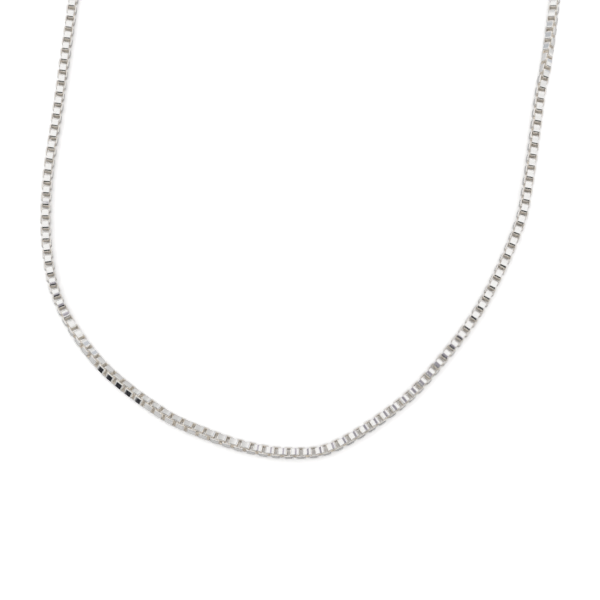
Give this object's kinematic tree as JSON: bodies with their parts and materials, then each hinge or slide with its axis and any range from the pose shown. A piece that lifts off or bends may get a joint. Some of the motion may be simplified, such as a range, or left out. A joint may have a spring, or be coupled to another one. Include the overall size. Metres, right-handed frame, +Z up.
{
  "type": "box chain necklace",
  "caption": "Polished silver box chain necklace lying flat as a closed loop, joined at the top by a plain round clasp and jump rings.",
  "frame": {"origin": "on the floor, under the middle of the loop", "axes": "+Z up, +Y along the loop from its round bottom to the clasp, +X to the right seen from above"},
  "size_m": [0.0891, 0.1846, 0.0034],
  "materials": {
    "silver": "polished"
  },
  "bodies": {
    "root": {"chain": "silver", "clasp_ring": "silver", "clasp": "silver", "end_ring": "silver"}
  },
  "joints": []
}
